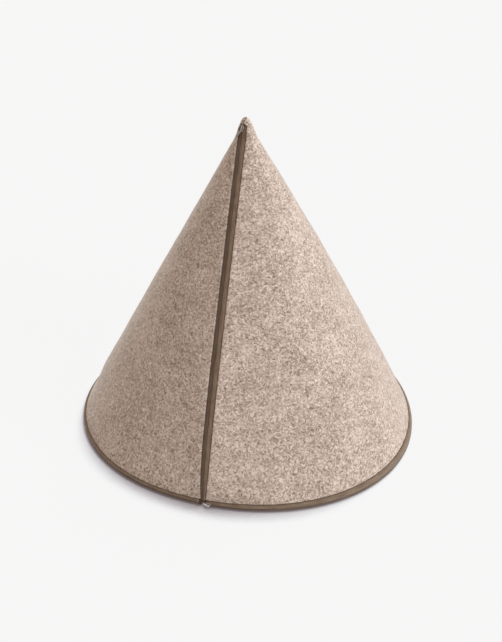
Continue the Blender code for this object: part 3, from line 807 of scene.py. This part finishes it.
zinc = moulded_material("worn_zinc", (0.33, 0.29, 0.265), (0.47, 0.425, 0.39), 0.28, 0.9)
nickel = moulded_material("bright_nickel", (0.93, 0.92, 0.90), (0.99, 0.98, 0.96), 0.30, 0.35)
nylon = moulded_material("coil_nylon", (0.05, 0.032, 0.024), (0.085, 0.056, 0.042), 0.35, 0.0)
for name, finish in (
    ("front_slider", zinc),
    ("front_pull", zinc),
    ("rim_slider", zinc),
    ("rim_pull", nickel),
    ("front_coil", nylon),
    ("rim_coil", nylon),
):
    cad_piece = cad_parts[name]
    cad_piece.data.materials.clear()
    cad_piece.data.materials.append(finish)

# What is sewn on each sheet of felt, and what that carries
sewn_on_cone = front_tapes + [rim_tapes[0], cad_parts["front_coil"]]
sewn_on_cone += [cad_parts["front_slider"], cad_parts["front_pull"]]
sewn_on_base = [rim_tapes[1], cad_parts["rim_coil"]]
sewn_on_base += [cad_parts["rim_slider"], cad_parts["rim_pull"]]

# ------------------------------------------------------------------ the floor, the light, the camera
# A plain pale studio floor that shades only close in front of what stands on it, one wide soft
# light low on the right and another high behind, and a camera that looks down on the bed from its
# front, a little to the right.

bpy.ops.mesh.primitive_circle_add(vertices=96, radius=14.0, fill_type="NGON")
floor = bpy.context.object
floor.name = "floor"
paper = bpy.data.materials.new("pale_floor")
paper.use_nodes = True
tree, shader = paper.node_tree, paper.node_tree.nodes["Principled BSDF"]
shader.inputs["Base Color"].default_value = (0.05, 0.05, 0.05, 1.0)
shader.inputs["Roughness"].default_value = 1.0
shader.inputs["Specular IOR Level"].default_value = 0.0
# The shade looks backwards and up from the floor, so only what stands behind a spot darkens it
near = node(tree, "ShaderNodeAmbientOcclusion", samples=16)
near.inputs["Distance"].default_value = 0.052
backwards = node(tree, "ShaderNodeCombineXYZ")
for socket, value in zip(backwards.inputs, (0.30, 0.85, 0.45)):
    socket.default_value = value
tree.links.new(backwards.outputs[0], near.inputs["Normal"])
shades = (
    (0.38, (0.120, 0.090, 0.094)),
    (0.46, (0.245, 0.218, 0.230)),
    (0.523, (0.372, 0.346, 0.364)),
    (0.556, (0.476, 0.448, 0.474)),
    (0.588, (0.625, 0.598, 0.625)),
    (0.633, (0.782, 0.768, 0.782)),
    (0.700, (0.872, 0.872, 0.872)),
)
coloured_by(tree, near.outputs["AO"], shader, shades, "Emission Color")
shader.inputs["Emission Strength"].default_value = 1.0
floor.data.materials.append(paper)

world = bpy.data.worlds.new("studio")
bpy.context.scene.world = world
world.use_nodes = True
fill = world.node_tree.nodes["Background"]
fill.inputs[0].default_value = (1.0, 0.84, 0.732, 1.0)
fill.inputs[1].default_value = 0.515
# The camera sees a pale backdrop in place of the warm fill light
tree = world.node_tree
backdrop = node(tree, "ShaderNodeBackground")
backdrop.inputs[0].default_value = (0.92, 0.92, 0.92, 1.0)
seen = node(tree, "ShaderNodeMixShader")
ray = node(tree, "ShaderNodeLightPath")
tree.links.new(ray.outputs["Is Camera Ray"], seen.inputs[0])
tree.links.new(fill.outputs[0], seen.inputs[1])
tree.links.new(backdrop.outputs[0], seen.inputs[2])
tree.links.new(seen.outputs[0], tree.nodes["World Output"].inputs[0])


def soft_sun(name, azimuth, elevation, strength, spread, colour):
    """A distant soft light; azimuth is to the right of the bed's front."""
    lamp = bpy.data.lights.new(name, "SUN")
    lamp.energy = strength
    lamp.color = colour
    lamp.angle = math.radians(spread)
    made = bpy.data.objects.new(name, lamp)
    bpy.context.scene.collection.objects.link(made)
    towards = outwards(math.radians(azimuth)) * math.cos(math.radians(elevation))
    towards.z = math.sin(math.radians(elevation))
    made.rotation_mode = "QUATERNION"
    made.rotation_quaternion = towards.to_track_quat("Z", "Y")


soft_sun("side_light", 70, 12, 2.62, 40, (0.835, 0.91, 1.0))
soft_sun("back_light", 160, 60, 1.645, 40, (0.953, 0.995, 1.0))

camera = bpy.data.objects.new("camera", bpy.data.cameras.new("camera"))
bpy.context.scene.collection.objects.link(camera)
camera.data.sensor_width = 36.0
camera.data.lens = 44.91
camera.data.clip_start = 0.05
camera.data.clip_end = 60.0
camera.location = AXIS + Vector((0.27728, -1.20869, 0.85742))
camera.rotation_euler = (math.radians(61.10), 0.0, math.radians(12.54))
bpy.context.scene.camera = camera
bpy.context.scene.view_settings.view_transform = "Standard"
